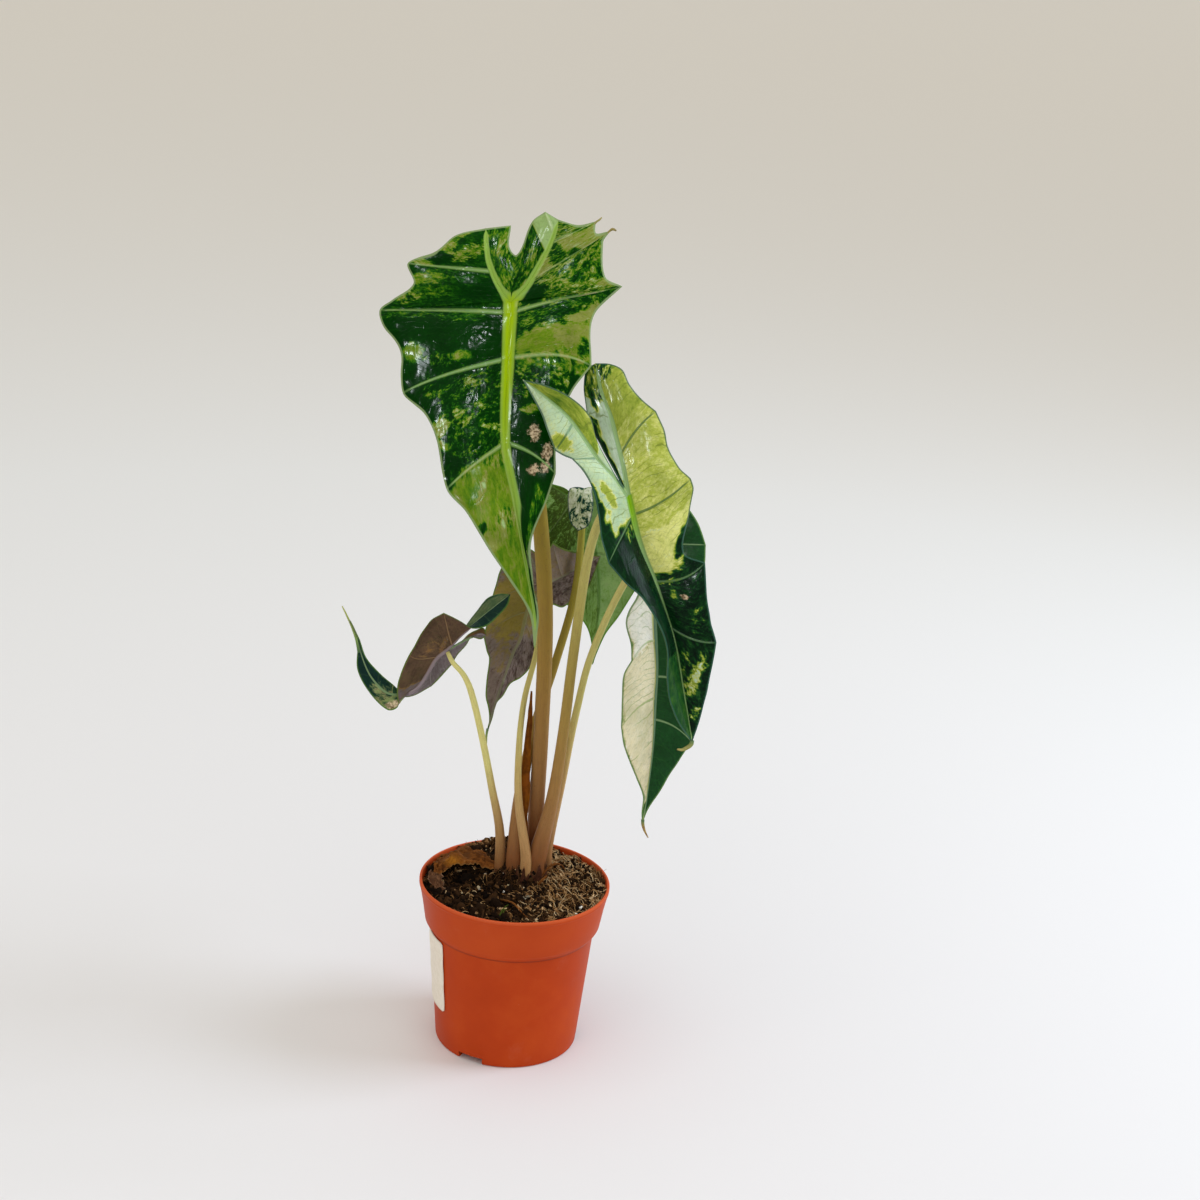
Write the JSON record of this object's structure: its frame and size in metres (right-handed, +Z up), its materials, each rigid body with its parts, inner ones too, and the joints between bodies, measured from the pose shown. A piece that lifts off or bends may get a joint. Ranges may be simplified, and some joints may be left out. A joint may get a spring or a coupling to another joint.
{
  "type": "potted alocasia polly",
  "caption": "Potted variegated alocasia: shield-shaped leaves with raised pale veins on long stalks, standing in a tapered plastic nursery pot filled with soil.",
  "frame": {"origin": "centre of the pot's foot, on the surface that it stands on", "axes": "+Z up through the pot's middle, -Y towards the front that most leaves face, +X to the right seen from the front"},
  "size_m": [0.2231, 0.1647, 0.5242],
  "materials": {
    "pot": "satin",
    "label": "matte",
    "soil": "matte",
    "corm": "matte",
    "dried_leaf": "matte",
    "petiole": "satin",
    "leaf_green": "gloss",
    "leaf_variegated": "gloss",
    "leaf_purple": "satin"
  },
  "bodies": {
    "root": {"pot": "pot", "label": "label", "soil": "soil", "corm": "corm", "sheath": "dried_leaf", "litter": "dried_leaf", "petiole_a": "petiole", "petiole_b": "petiole", "petiole_c": "petiole", "petiole_e": "petiole", "petiole_f": "petiole", "petiole_g": "petiole", "leaf_a": "leaf_green", "leaf_b": "leaf_variegated", "leaf_c": "leaf_variegated", "leaf_e": "leaf_green", "leaf_f": "leaf_purple", "leaf_g": "leaf_purple"}
  },
  "joints": []
}
